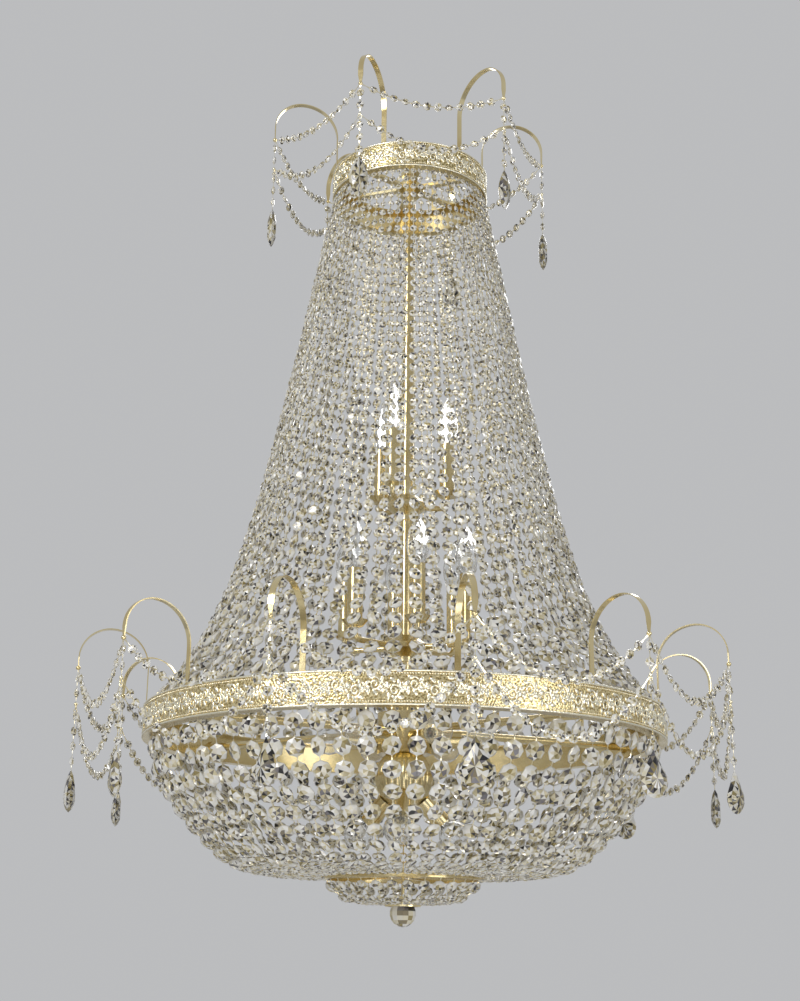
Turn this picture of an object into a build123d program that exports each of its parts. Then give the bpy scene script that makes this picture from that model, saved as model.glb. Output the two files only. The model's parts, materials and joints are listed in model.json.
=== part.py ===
from build123d import *
import math
import os

os.makedirs("parts", exist_ok=True)

# ---------------------------------------------------------------------------
# Driving dimensions, millimetres. The origin is the middle of the hanging eye.
# ---------------------------------------------------------------------------

# hanging eye, its shank and the nuts on top of the stem
eye_bore_radius = 11.0
eye_outer_radius = 21.0
eye_thickness = 10.0
eye_edge_round = 2.0
eye_neck_radius = 11.0
eye_neck_drop = 30.0
shank_radius = 6.9
shank_drop = 62.0
locknut_across_flats = 26.0
locknut_height = 8.0
cable_way_radius = 3.5
bush_length = 10.0
bush_wall = 0.9

# central stem
stem_radius = 10.0
stem_bore_radius = 7.0
slip_gap = 0.05

# crown band
crown_radius = 132.0
crown_wall = 2.0
crown_top = -42.0
crown_height = 45.0
crown_flange = 14.0

# large band
ring_radius = 400.0
ring_wall = 2.5
ring_drop = 923.0
ring_height = 47.0
ring_flange = 20.0

# both bands
flange_thickness = 2.0
rim_relief = 1.5

# small ring, basket and ball
small_ring_radius = 118.5
small_ring_wall = 5.5
small_ring_height = 9.0
small_ring_drop = 201.0
collector_radius = 27.0
collector_wall = 4.0
collector_height = 6.0
collector_drop = 40.0
ball_radius = 20.0
ball_drop = 52.5
ball_cap_radius = 8.0
ball_cap_height = 5.0
finial_rod_radius = 2.5

# spokes
crown_spoke_count = 6
crown_spoke_width = 12.0
crown_spoke_thickness = 5.0
crown_hub_radius = 24.0
crown_hub_height = 10.0
crown_hub_drop = 16.0
ring_arm_count = 6
ring_arm_radius = 6.0
ring_arm_pad_radius = 10.0
ring_arm_pad_thickness = 4.0
small_spoke_count = 6
small_spoke_width = 7.0
small_spoke_thickness = 3.0
small_hub_radius = 12.0
joint_gap = 0.3
nut_across_flats = 32.0
nut_height = 8.0

# arched hooks, bent from flat strip
first_hook_angle = -20.0
top_hook_count = 6
top_hook_reach = 106.8
top_hook_arch = 122.7
top_hook_tip = 50.3
lower_hook_count = 12
lower_hook_reach = 104.0
lower_hook_arch = 115.2
lower_hook_tip = 53.4
hook_stem_inset = 5.0
hook_strip_width = 8.5
hook_strip_thickness = 1.6
hook_inner_share = 0.56
hook_foot_length = 9.0
hook_taper_length = 16.0
hook_point_width = 3.0
junction_radius = 3.5

# bead strands
strand_count = 72
tent_sector_count = 3
waist_radius = 1.2
strand_tip_radius = 0.5
pin_radius = 0.8
pin_gap = 5.5
strand_lead_top = 3.0
strand_lead_ring = 8.0
strand_seat_gap = 0.6
pin_bite = 0.4
pin_align = (Align.CENTER, Align.CENTER, Align.MIN)
tent_top_radius = 127.0
tent_bottom_radius = 387.0
tent_slope = 0.1885
tent_decay = 130.0
tent_points = 9
tent_bead_share = 0.90
tent_bead_fall = 0.16
bowl_top_radius = 386.0
bowl_bead_share = 0.88
bowl_bead_largest = 27.0
bowl_curve = ((0.07, 0.32), (0.28, 0.69), (0.53, 0.945))
basket_count = 30
basket_bead_largest = 20.0
basket_bead_share = 0.82
basket_curve = ((0.13, 0.50), (0.40, 0.85))

# swags, hangers and drops
swag_bead = 14.0
swag_pin_gap = 6.0
swag_pin_trim = 6.0
top_swag_sags = (29.0, 50.0)
top_swag_leads = (16.0, 16.0)
lower_swag_sags = (72.0, 91.0)
lower_swag_leads = (18.0, 23.0)
hanger_bead = 14.0
hanger_beads = 2
hanger_pitch = 22.0
hanger_lead = 16.5
top_drop_beads = 3
lower_drop_beads = 4
pivot_drop = 8.0
pivot_pin_radius = 0.9
pivot_pin_length = 4.6
pivot_ring_outer = 2.6
pivot_ring_inner = 1.2
pivot_ring_width = 1.8
fork_width = 1.2
drop_lead = 18.5
almond_length = 70.0
almond_width = 30.0
pear_length = 62.0
pear_width = 42.0
pendant_thickness = 14.0
pendant_table_share = 0.5

# lamps
upper_lamp_count = 3
upper_lamp_radius = 66.0
upper_hub_drop = 603.0
upper_hub_radius = 30.0
upper_lamp_first_angle = 10.0
middle_lamp_count = 6
middle_lamp_radius = 102.0
middle_hub_drop = 833.0
middle_hub_radius = 34.0
middle_lamp_first_angle = -80.0
hub_height = 34.0
hub_neck_wall = 5.0
hub_belly_shares = (0.35, 0.60)
collar_radius = 14.0
collar_height = 8.0
lamp_arm_radius = 4.5
lamp_arm_bend = 14.0
lamp_arm_rise = 20.0
cup_radius = 21.0
cup_height = 9.0
cup_wall = 1.5
sleeve_radius = 12.0
sleeve_wall = 1.2
sleeve_height = 88.0
holder_radius = 9.5
holder_bore = 7.3
cap_radius = 7.0
cap_height = 22.0
candle_bulb_radius = 17.5
candle_bulb_length = 80.0
candle_neck_radius = 6.5
candle_neck_wall = 2.0
candle_belly_share = 0.36
candle_tip_share = 0.90
candle_tip_radius = 5.6
candle_point_radius = 0.8
ring_hub_radius = 42.0
ring_hub_above = 2.0
ring_hub_height = 60.0
ring_hub_wall = 3.0
ring_hub_post = 5.0
hub_cover_thickness = 2.5
ring_lamp_count = 6
ring_lamp_drop = 38.0
socket_radius = 14.0
socket_length = 46.0
globe_radius = 22.5
globe_neck_length = 8.0
globe_seat_share = 0.9
vase_radius = 45.0
vase_drop = 95.0
vase_wall = 3.0
vase_nut_height = 6.0
low_lamp_count = 3
low_lamp_slope = 45.0
terminal_block_length = 30.0
terminal_block_width = 14.0
terminal_block_height = 16.0
terminal_block_gap = 1.0

# chain between the vase and the small ring
link_length = 18.0
link_width = 11.0
link_wire = 1.0
link_gap = 0.3

# ---------------------------------------------------------------------------
# Heights and radii that follow from them
# ---------------------------------------------------------------------------
crown_bottom = crown_top - crown_height
ring_top = crown_top - ring_drop
ring_bottom = ring_top - ring_height
small_ring_top = ring_bottom - small_ring_drop + small_ring_height
small_ring_middle = small_ring_top - small_ring_height / 2
small_ring_bottom = small_ring_top - small_ring_height
collector_middle = small_ring_middle - collector_drop
ball_middle = small_ring_middle - ball_drop
stem_top = -eye_neck_drop - locknut_height
crown_hub_top = crown_top - crown_hub_drop
ring_hub_top = ring_top + ring_hub_above
ring_hub_bottom = ring_hub_top - ring_hub_height
ring_lamp_height = ring_top - ring_lamp_drop
vase_middle = ring_top - vase_drop
upper_hub_bottom = crown_top - upper_hub_drop
middle_hub_bottom = crown_top - middle_hub_drop
top_hook_stem = crown_radius - rim_relief - hook_stem_inset + hook_strip_thickness
lower_hook_stem = ring_radius - rim_relief - hook_stem_inset + hook_strip_thickness
top_tip_radius = top_hook_stem + top_hook_reach
lower_tip_radius = lower_hook_stem + lower_hook_reach
top_tip_height = crown_top + top_hook_tip
lower_tip_height = ring_top + lower_hook_tip


# ---------------------------------------------------------------------------
# Helpers
# ---------------------------------------------------------------------------
def hook_angles(count):
    """Turns about Z that carry a piece made along +X to each hook of a tier."""
    return [first_hook_angle - 90 + 360 / count * k for k in range(count)]


def at_angle(radius, angle, height):
    """A point at a radius and height, an angle being a turn from +X about Z."""
    a = math.radians(angle)
    return Vector(radius * math.cos(a), radius * math.sin(a), height)


def turned(shape, angles):
    """One copy of every solid of a shape at each turn about Z."""
    return [s.rotate(Axis.Z, a) for a in angles for s in shape.solids()]


def save(solids, name):
    """Writes one node, a single solid or a group of separate solids."""
    node = Compound(solids)
    node.label = name
    export_step(node, f"parts/{name}.step", write_pcurves=False)


def lay_beads(path, lead_in, lead_out, gap, size_at):
    """Bead centres and sizes along a path, its spare length shared by the pins."""
    length = path.length
    laid = []
    start = lead_in
    while True:
        size = size_at(path @ min(start / length, 1.0))
        if start + size > length - lead_out:
            break
        laid.append(start + size / 2)
        start += size + gap
    spare = length - lead_out - (start - gap)
    stretch = spare / max(len(laid) - 1, 1)
    centres = [path @ ((middle + i * stretch) / length) for i, middle in enumerate(laid)]
    return [(centre, size_at(centre)) for centre in centres]


def turned_bead(size):
    """A bead about Z whose outline is a regular octagon."""
    half = size / 2
    corner = half * math.tan(math.radians(22.5))
    with BuildPart() as bead:
        with BuildSketch(Plane.XZ):
            with BuildLine():
                Polyline(
                    (0, -half),
                    (corner, -half),
                    (half, -corner),
                    (half, corner),
                    (corner, half),
                    (0, half),
                    close=True,
                )
            make_face()
        revolve(axis=Axis.Z)
    return bead.part


def bead_chain(beads, start, end, extras=()):
    """Beads joined by wire pins from start to end, as one solid."""
    stops = [(start, 0)] + beads + [(end, 0)]
    pieces = list(extras)
    for (a, size_a), (b, size_b) in zip(stops, stops[1:]):
        along = (b - a).normalized()
        low = a + along * size_a * pin_bite
        high = b - along * size_b * pin_bite
        pin = Cylinder(
            pin_radius, (high - low).length, align=pin_align, mode=Mode.PRIVATE
        )
        pieces.append(Plane(origin=low, z_dir=along).location * pin)
    for (before, _), (centre, size), (after, _) in zip(stops, stops[1:], stops[2:]):
        pieces.append(turned_bead(size).moved(Plane(centre, z_dir=after - before).location))
    with BuildPart() as chain:
        add(pieces)
    return chain.part


def cut_strand(beads, start, end, side):
    """A strand of four sided cut beads on its curve, waisted between them.

    All its square sections lie across the line from start to end, so each facet is flat.
    """
    out = side.cross(end - start).normalized()
    sections = [(start, strand_tip_radius)]
    for (centre, size), (after, _) in zip(beads, beads[1:]):
        sections.append((centre, size / 2))
        sections.append(((centre + after) / 2, waist_radius))
    sections.append((beads[-1][0], beads[-1][1] / 2))
    sections.append((end, strand_tip_radius))
    rings = [
        [centre + corner * radius for corner in (side, out, -side, -out)]
        for centre, radius in sections
    ]
    facets = [Face(Wire.make_polygon(ring)) for ring in (rings[0], rings[-1])]
    for low, high in zip(rings, rings[1:]):
        for a, b, c, d in zip(low, low[1:] + low[:1], high[1:] + high[:1], high):
            facets.append(Face(Wire.make_polygon([a, b, c, d])))
    return Solid(Shell(facets))


def band_profile(outer, wall, top, height, flange):
    """Inward facing channel of a band, with half round rims on its outside."""
    face = outer - rim_relief
    bottom = top - height
    with BuildSketch(Plane.XZ) as profile:
        with BuildLine():
            Polyline(
                (face - flange, top),
                (face, top),
                (face, bottom),
                (face - flange, bottom),
                (face - flange, bottom + flange_thickness),
                (face - wall, bottom + flange_thickness),
                (face - wall, top - flange_thickness),
                (face - flange, top - flange_thickness),
                close=True,
            )
        make_face()
        with Locations((face, top - rim_relief), (face, bottom + rim_relief)):
            Circle(rim_relief)
    return profile.sketch


def turned_part(points):
    """A lathe-turned piece about Z from its outline, points of radius and height."""
    with BuildPart() as piece:
        with BuildSketch(Plane.XZ):
            with BuildLine():
                Polyline(*points, close=True)
            make_face()
        revolve(axis=Axis.Z)
    return piece.part


def tube(outer, inner, low, high):
    """A plain tube about Z."""
    return turned_part([(inner, low), (outer, low), (outer, high), (inner, high)])


def hex_nut(across, bore, low, height):
    """A hexagon nut about Z."""
    with BuildPart() as nut:
        with BuildSketch(Plane.XY.offset(low)):
            RegularPolygon(across / 2, 6, major_radius=False)
            Circle(bore, mode=Mode.SUBTRACT)
        extrude(amount=height)
    return nut.part


# ---------------------------------------------------------------------------
# Hanging eye, locknut, cable bush, stem
# ---------------------------------------------------------------------------
with BuildPart() as hanging_eye:
    with BuildSketch(Plane.XZ.offset(-eye_thickness / 2)):
        Circle(eye_outer_radius)
    extrude(amount=eye_thickness)
    fillet(hanging_eye.edges().filter_by(GeomType.CIRCLE), eye_edge_round)
    with BuildSketch(Plane.XY.offset(-eye_neck_drop)):
        Circle(eye_neck_radius)
    extrude(amount=eye_neck_drop - eye_bore_radius)
    with BuildSketch(Plane.XY.offset(-shank_drop)):
        Circle(shank_radius)
    extrude(amount=shank_drop - eye_neck_drop)
    with BuildSketch(Plane.XZ.offset(-eye_thickness)):
        Circle(eye_bore_radius)
    extrude(amount=2 * eye_thickness, mode=Mode.SUBTRACT)
    with BuildSketch(Plane.XY.offset(-shank_drop)):
        Circle(cable_way_radius)
    extrude(amount=shank_drop, mode=Mode.SUBTRACT)
save([hanging_eye.part.solid()], "hanging_eye")

locknut = hex_nut(locknut_across_flats, stem_bore_radius, stem_top, locknut_height)
save([locknut.solid()], "eye_locknut")

stem_bottom = ring_hub_bottom - hub_cover_thickness - vase_wall - vase_nut_height
stem = tube(stem_radius, stem_bore_radius, stem_bottom, stem_top)
save([stem.solid()], "central_stem")

bush = tube(
    cable_way_radius - slip_gap,
    cable_way_radius - bush_wall,
    -shank_drop,
    -shank_drop + bush_length,
)
save([bush.solid()], "cable_bush")

# ---------------------------------------------------------------------------
# Crown: band, spider, nut
# ---------------------------------------------------------------------------
with BuildPart() as crown_band:
    add(band_profile(crown_radius, crown_wall, crown_top, crown_height, crown_flange))
    revolve(axis=Axis.Z)
save([crown_band.part.solid()], "crown_band")

crown_inner = crown_radius - rim_relief - crown_wall
spoke_angles = [a + 180 / crown_spoke_count for a in hook_angles(crown_spoke_count)]
with BuildPart() as crown_spider:
    with BuildSketch(Plane.XY.offset(crown_hub_top - crown_hub_height)):
        Circle(crown_hub_radius)
    extrude(amount=crown_hub_height)
    with BuildSketch(Plane.XY.offset(crown_hub_top - crown_spoke_thickness)):
        for angle in spoke_angles:
            with Locations(Rotation(0, 0, angle)):
                Rectangle(crown_radius, crown_spoke_width, align=(Align.MIN, Align.CENTER))
        Circle(crown_inner - joint_gap / 3, mode=Mode.INTERSECT)
    extrude(amount=crown_spoke_thickness)
    with BuildSketch(Plane.XY.offset(crown_hub_top - crown_hub_height)):
        Circle(stem_radius + slip_gap)
    extrude(amount=crown_hub_height, mode=Mode.SUBTRACT)
save([crown_spider.part.solid()], "crown_spider")

crown_nuts = [
    hex_nut(nut_across_flats, stem_radius + slip_gap, crown_hub_top, nut_height),
    hex_nut(
        nut_across_flats,
        stem_radius + slip_gap,
        crown_hub_top - crown_hub_height - nut_height,
        nut_height,
    ),
]
save([n.solid() for n in crown_nuts], "crown_spider_nuts")

# ---------------------------------------------------------------------------
# Large band with its spider, and the small ring with its own
# ---------------------------------------------------------------------------
with BuildPart() as large_band:
    add(band_profile(ring_radius, ring_wall, ring_top, ring_height, ring_flange))
    revolve(axis=Axis.Z)
save([large_band.part.solid()], "large_band")

ring_inner = ring_radius - rim_relief - ring_wall
pad_face = math.sqrt(ring_inner**2 - ring_arm_pad_radius**2) - joint_gap / 3
ring_arm_height = ring_top - ring_height / 2
arm_angles = [a + 90 / ring_arm_count for a in hook_angles(ring_arm_count)]
with BuildPart() as ring_arm:
    with BuildSketch(Plane.YZ):
        with Locations((0, ring_arm_height)):
            Circle(ring_arm_radius)
    extrude(amount=pad_face)
    with BuildSketch(Plane.YZ.offset(pad_face - ring_arm_pad_thickness)):
        with Locations((0, ring_arm_height)):
            Circle(ring_arm_pad_radius)
    extrude(amount=ring_arm_pad_thickness)
with BuildPart() as ring_spider:
    with BuildSketch(Plane.XY.offset(ring_hub_bottom)):
        Circle(ring_hub_radius)
    extrude(amount=ring_hub_height)
    add(turned(ring_arm.part, arm_angles))
    with BuildSketch(Plane.XY.offset(ring_hub_bottom)):
        Circle(stem_radius + slip_gap)
    extrude(amount=ring_hub_height, mode=Mode.SUBTRACT)
    with BuildSketch(Plane.XY.offset(ring_hub_bottom)):
        Circle(ring_hub_radius - ring_hub_wall)
        Circle(stem_radius + slip_gap + ring_hub_post, mode=Mode.SUBTRACT)
    extrude(amount=ring_hub_height - ring_hub_wall, mode=Mode.SUBTRACT)
save([ring_spider.part.solid()], "ring_spider")

terminal_block_middle = stem_radius + ring_hub_post + terminal_block_width / 2 + terminal_block_gap
with BuildPart() as terminal_block:
    with BuildSketch(Plane.XY.offset(ring_hub_top - ring_hub_wall - terminal_block_height)):
        with Locations((terminal_block_middle, 0)):
            Rectangle(terminal_block_width, terminal_block_length)
    extrude(amount=terminal_block_height)
save([terminal_block.part.solid()], "terminal_block")

hub_cover = tube(
    ring_hub_radius,
    stem_radius + slip_gap,
    ring_hub_bottom - hub_cover_thickness,
    ring_hub_bottom,
)
save([hub_cover.solid()], "hub_cover")

small_inner = small_ring_radius - small_ring_wall
small_ring = tube(small_ring_radius, small_inner, small_ring_bottom, small_ring_top)
save([small_ring.solid()], "small_ring")

small_spoke_base = small_ring_middle - small_spoke_thickness / 2
small_spoke_angles = hook_angles(small_spoke_count)
eye_wire_height = small_ring_middle + small_spoke_thickness / 2 + link_width / 2 - link_wire
with BuildPart() as small_spider:
    with BuildSketch(Plane.XY.offset(small_spoke_base)):
        Circle(small_hub_radius)
        for angle in small_spoke_angles:
            with Locations(Rotation(0, 0, angle)):
                Rectangle(
                    small_inner - joint_gap / 3,
                    small_spoke_width,
                    align=(Align.MIN, Align.CENTER),
                )
        Circle(small_inner - joint_gap / 3, mode=Mode.INTERSECT)
    extrude(amount=small_spoke_thickness)
    with Locations(Location((0, 0, eye_wire_height), (90, 0, 0))):
        Torus(link_width / 2 - link_wire, link_wire)
save([small_spider.part.solid()], "small_ring_spider")

# ---------------------------------------------------------------------------
# Arched hooks
# ---------------------------------------------------------------------------
def arched_hook(stem_x, base_z, reach, arch, tip):
    """Flat strip with a foot on the band's top flange, arched out to a point."""
    inner = reach * hook_inner_share
    outer = reach - inner
    apex = base_z + arch - hook_strip_thickness / 2
    low = base_z + hook_strip_thickness / 2
    with BuildPart() as hook:
        with BuildSketch(Plane.XZ):
            with BuildLine():
                Line((stem_x - hook_foot_length, low), (stem_x, low))
                Line((stem_x, low), (stem_x, apex - inner))
                RadiusArc((stem_x, apex - inner), (stem_x + inner, apex), inner)
                RadiusArc((stem_x + inner, apex), (stem_x + reach, apex - outer), outer)
                Line((stem_x + reach, apex - outer), (stem_x + reach, base_z + tip))
            trace(line_width=hook_strip_thickness)
        extrude(amount=hook_strip_width / 2, both=True)
        half = hook_strip_width / 2
        point = hook_point_width / 2
        end = base_z + tip
        with BuildSketch(Plane.YZ.offset(stem_x + reach - hook_strip_thickness)):
            for side in (-1, 1):
                with BuildLine():
                    Polyline(
                        (side * half, end + hook_taper_length),
                        (side * (half + 1), end + hook_taper_length),
                        (side * (half + 1), end - 1),
                        (side * point, end - 1),
                        (side * point, end),
                        close=True,
                    )
                make_face()
        extrude(amount=2 * hook_strip_thickness, mode=Mode.SUBTRACT)
        with Locations((stem_x + reach, 0, end)):
            Sphere(junction_radius)
    return hook.part


top_hook = arched_hook(
    top_hook_stem, crown_top, top_hook_reach, top_hook_arch, top_hook_tip
)
lower_hook = arched_hook(
    lower_hook_stem, ring_top, lower_hook_reach, lower_hook_arch, lower_hook_tip
)
save(turned(top_hook, hook_angles(top_hook_count)), "top_hooks")
save(turned(lower_hook, hook_angles(lower_hook_count)), "lower_hooks")


# ---------------------------------------------------------------------------
# Bead strands of the tent, the bowl and the basket
# ---------------------------------------------------------------------------
def strand_pitch(radius, count):
    """Distance round the fixture between neighbouring strands."""
    return 2 * math.pi * radius / count


tent_start = crown_bottom - strand_seat_gap
tent_end = ring_top + strand_seat_gap
tent_height = tent_start - tent_end
tent_flare = tent_bottom_radius - tent_top_radius - tent_slope * tent_height


def tent_radius(depth):
    """Radius of the tent's strands at a depth below the crown band."""
    flare = tent_flare * math.exp(-(tent_height - depth) / tent_decay)
    return tent_top_radius + tent_slope * depth + flare


def tent_bead(point):
    """Tent beads grow with the room between strands, a little slower near the ring."""
    low = (tent_start - point.Z) / tent_height
    share = tent_bead_share - tent_bead_fall * low
    return share * strand_pitch(point.X, strand_count)


def bowl_bead(point):
    """Bowl beads shrink towards the small ring with the room between strands."""
    return min(bowl_bead_largest, bowl_bead_share * strand_pitch(point.X, strand_count))


def basket_bead(point):
    """Basket beads shrink towards the collector ring."""
    return min(basket_bead_largest, basket_bead_share * strand_pitch(point.X, basket_count))


with BuildLine() as tent_path:
    Spline(
        *[
            (tent_radius(tent_height * t), 0, tent_start - tent_height * t)
            for t in (math.sqrt(k / (tent_points - 1)) for k in range(tent_points))
        ]
    )
tent_beads = lay_beads(
    tent_path.edge(), strand_lead_top, strand_lead_ring, pin_gap, tent_bead
)
tent_strand = cut_strand(
    tent_beads, tent_path.edge() @ 0, tent_path.edge() @ 1, Vector(0, 1, 0)
)

bowl_start = ring_bottom - strand_seat_gap
bowl_depth = bowl_start - small_ring_middle
bowl_run = bowl_top_radius - small_ring_radius
with BuildLine() as bowl_path:
    Spline(
        (bowl_top_radius, 0, bowl_start),
        *[
            (bowl_top_radius - inward * bowl_run, 0, bowl_start - down * bowl_depth)
            for inward, down in bowl_curve
        ],
        (small_ring_radius + strand_seat_gap, 0, small_ring_middle),
    )
bowl_beads = lay_beads(
    bowl_path.edge(), strand_lead_top, strand_lead_top, pin_gap, bowl_bead
)
bowl_strand = cut_strand(
    bowl_beads, bowl_path.edge() @ 0, bowl_path.edge() @ 1, Vector(0, 1, 0)
)

basket_top_radius = small_ring_radius - small_ring_wall / 2
basket_run = basket_top_radius - collector_radius
basket_start = small_ring_bottom - strand_seat_gap
basket_depth = basket_start - collector_middle
with BuildLine() as basket_path:
    Spline(
        (basket_top_radius, 0, basket_start),
        *[
            (basket_top_radius - inward * basket_run, 0, basket_start - down * basket_depth)
            for inward, down in basket_curve
        ],
        (collector_radius + strand_seat_gap, 0, collector_middle),
    )
basket_beads = lay_beads(
    basket_path.edge(), strand_lead_top, strand_lead_top, pin_gap, basket_bead
)
basket_strand = cut_strand(
    basket_beads, basket_path.edge() @ 0, basket_path.edge() @ 1, Vector(0, 1, 0)
)

strand_step = 360 / strand_count
first_strand = first_hook_angle - 90 + strand_step / 2
strand_angles = [first_strand + strand_step * k for k in range(strand_count)]
per_sector = strand_count // tent_sector_count
for sector in range(tent_sector_count):
    angles = strand_angles[sector * per_sector : (sector + 1) * per_sector]
    save(turned(tent_strand, angles), f"tent_strands_{sector + 1}")
save(turned(bowl_strand, strand_angles), "bowl_strands")
save(turned(basket_strand, hook_angles(basket_count)), "basket_strands")

# ---------------------------------------------------------------------------
# Collector ring, ball and its rod
# ---------------------------------------------------------------------------
collector_low = collector_middle - collector_height / 2
collector = tube(
    collector_radius,
    collector_radius - collector_wall,
    collector_low,
    collector_low + collector_height,
)
save([collector.solid()], "basket_collector")

with BuildPart() as ball:
    with Locations((0, 0, ball_middle)):
        Sphere(ball_radius)
save([ball.part.solid()], "crystal_ball")

cap_low = ball_middle + ball_radius + joint_gap
with BuildPart() as finial_rod:
    with BuildSketch(Plane.XY.offset(cap_low)):
        Circle(ball_cap_radius)
    extrude(amount=ball_cap_height)
    with BuildSketch(Plane.XY.offset(cap_low)):
        Circle(finial_rod_radius)
    extrude(amount=small_spoke_base - cap_low)
save([finial_rod.part.solid()], "ball_rod")


# ---------------------------------------------------------------------------
# Hangers under each hook tip, swags between them, and the swinging drops
# ---------------------------------------------------------------------------
hanger_depth = hanger_lead + (hanger_beads - 1) * hanger_pitch + hanger_lead
pivot_depth = hanger_depth + pivot_drop


def hanger(tip_radius, tip_height):
    """Upper beads of a drop, ending in a junction bead and a fork with its pin."""
    beads = [
        (Vector(tip_radius, 0, tip_height - hanger_lead - hanger_pitch * k), hanger_bead)
        for k in range(hanger_beads)
    ]
    start = Vector(tip_radius, 0, tip_height - junction_radius - joint_gap)
    end = Vector(tip_radius, 0, tip_height - hanger_depth)
    prong = pivot_drop + pivot_pin_radius
    spread = (pivot_pin_length - fork_width) / 2
    axle = Cylinder(
        pivot_pin_radius, pivot_pin_length, rotation=(90, 0, 0), mode=Mode.PRIVATE
    )
    yoke = Box(fork_width, pivot_pin_length, fork_width, mode=Mode.PRIVATE)
    fork = [
        Pos(tip_radius, side * spread, end.Z - prong / 2)
        * Box(fork_width, fork_width, prong, mode=Mode.PRIVATE)
        for side in (-1, 1)
    ]
    knob = Pos(*end) * Sphere(junction_radius, mode=Mode.PRIVATE)
    pin = Pos(tip_radius, 0, end.Z - pivot_drop) * axle
    bridge = Pos(tip_radius, 0, end.Z - fork_width) * yoke
    return bead_chain(beads, start, end, extras=[knob, pin, bridge] + fork)


def drop_chain(tip_radius, tip_height, count):
    """Ring link on the pivot pin with the drop's lower beads, down to the pendant."""
    pivot = tip_height - pivot_depth
    beads = [
        (Vector(tip_radius, 0, pivot - drop_lead + pivot_drop - hanger_pitch * k), hanger_bead)
        for k in range(count)
    ]
    with BuildPart() as link:
        with BuildSketch(Plane.XZ.offset(-pivot_ring_width / 2)):
            with Locations((tip_radius, pivot)):
                Circle(pivot_ring_outer)
        extrude(amount=pivot_ring_width)
    start = Vector(tip_radius, 0, pivot - pivot_ring_inner - pin_radius)
    end = beads[-1][0] - Vector(0, 0, hanger_bead / 2 + pin_gap - joint_gap)
    chain = bead_chain(beads, start, end, extras=[link.part])
    with BuildPart() as drilled:
        add(chain)
        with BuildSketch(Plane.XZ.offset(-pivot_ring_width)):
            with Locations((tip_radius, pivot)):
                Circle(pivot_ring_inner)
        extrude(amount=2 * pivot_ring_width, mode=Mode.SUBTRACT)
    return drilled.part, end.Z - joint_gap


def pendant_outline(plane, top, length, width, round_end, share):
    """Outline of an almond, or of a pear with a round end, shrunk towards its middle."""
    belly = top - (length - width / 2 if round_end else 0.55 * length)
    high = belly + (top - belly) * share
    low = belly - (belly - (top - length)) * share
    half = width / 2 * share
    with BuildSketch(plane) as outline:
        with BuildLine():
            if round_end:
                lean = math.acos(half / (high - belly))
                side = half * math.sin(lean)
                rise = half * math.cos(lean)
                Line((0, high), (side, belly + rise))
                ThreePointArc((side, belly + rise), (0, low), (-side, belly + rise))
                Line((-side, belly + rise), (0, high))
            else:
                ThreePointArc((0, high), (half, belly), (0, low))
                ThreePointArc((0, low), (-half, belly), (0, high))
        make_face()
    return outline.sketch.face()


def pendant(tip_radius, top, length, width, round_end):
    """A flat crystal bevelled to a smaller table on both faces, hung by its point."""
    girdle = Plane.YZ.offset(tip_radius)
    with BuildPart() as cut:
        for side in (-1, 1):
            table = Plane.YZ.offset(tip_radius + side * pendant_thickness / 2)
            loft(
                sections=[
                    pendant_outline(girdle, top, length, width, round_end, 1.0),
                    pendant_outline(
                        table, top, length, width, round_end, pendant_table_share
                    ),
                ],
                ruled=True,
            )
    return cut.part


def drop(tip_radius, tip_height, count, length, width, round_end):
    """Chain and pendant of one drop, as separate solids."""
    chain, top = drop_chain(tip_radius, tip_height, count)
    return chain.solids() + pendant(tip_radius, top, length, width, round_end).solids()


top_hanger = hanger(top_tip_radius, top_tip_height)
lower_hanger = hanger(lower_tip_radius, lower_tip_height)
save(turned(top_hanger, hook_angles(top_hook_count)), "top_hangers")
save(turned(lower_hanger, hook_angles(lower_hook_count)), "lower_hangers")

top_drop = Compound(
    drop(top_tip_radius, top_tip_height, top_drop_beads, almond_length, almond_width, False)
)
lower_drop = Compound(
    drop(lower_tip_radius, lower_tip_height, lower_drop_beads, pear_length, pear_width, True)
)
for k, angle in enumerate(hook_angles(top_hook_count)):
    save(turned(top_drop, [angle]), f"top_drop_{k + 1}")
for k, angle in enumerate(hook_angles(lower_hook_count)):
    save(turned(lower_drop, [angle]), f"lower_drop_{k + 1}")


def swag(tip_radius, height, count, sag, lead):
    """Beads hanging in a curve from one hook's drop to the next."""
    half = 180 / count
    a = at_angle(tip_radius, -half, height)
    b = at_angle(tip_radius, half, height)
    with BuildLine() as curve:
        Bezier(a, (a + b) / 2 - Vector(0, 0, 2 * sag), b)
    path = curve.edge()
    beads = lay_beads(path, lead, lead, swag_pin_gap, lambda point: swag_bead)
    trim = swag_pin_trim / path.length
    return cut_strand(beads, path @ trim, path @ (1 - trim), Vector(1, 0, 0))


def swag_tier(tip_radius, tip_height, count, sags, leads):
    """Both swags of each bay: one from the tips, one from the junction beads."""
    angles = [a + 180 / count for a in hook_angles(count)]
    heights = (tip_height, tip_height - hanger_depth)
    solids = []
    for sag, lead, height in zip(sags, leads, heights):
        solids += turned(swag(tip_radius, height, count, sag, lead), angles)
    return solids


top_swags = swag_tier(
    top_tip_radius, top_tip_height, top_hook_count, top_swag_sags, top_swag_leads
)
lower_swags = swag_tier(
    lower_tip_radius, lower_tip_height, lower_hook_count, lower_swag_sags, lower_swag_leads
)
save(top_swags, "top_swags")
save(lower_swags, "lower_swags")


# ---------------------------------------------------------------------------
# Lamps
# ---------------------------------------------------------------------------
def lamp_hub(radius, low):
    """A turned hub that slides on the stem."""
    bore = stem_radius + slip_gap
    neck = bore + hub_neck_wall
    return turned_part(
        [
            (bore, low),
            (neck, low),
            (radius, low + hub_belly_shares[0] * hub_height),
            (radius, low + hub_belly_shares[1] * hub_height),
            (neck, low + hub_height),
            (bore, low + hub_height),
        ]
    )


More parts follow.
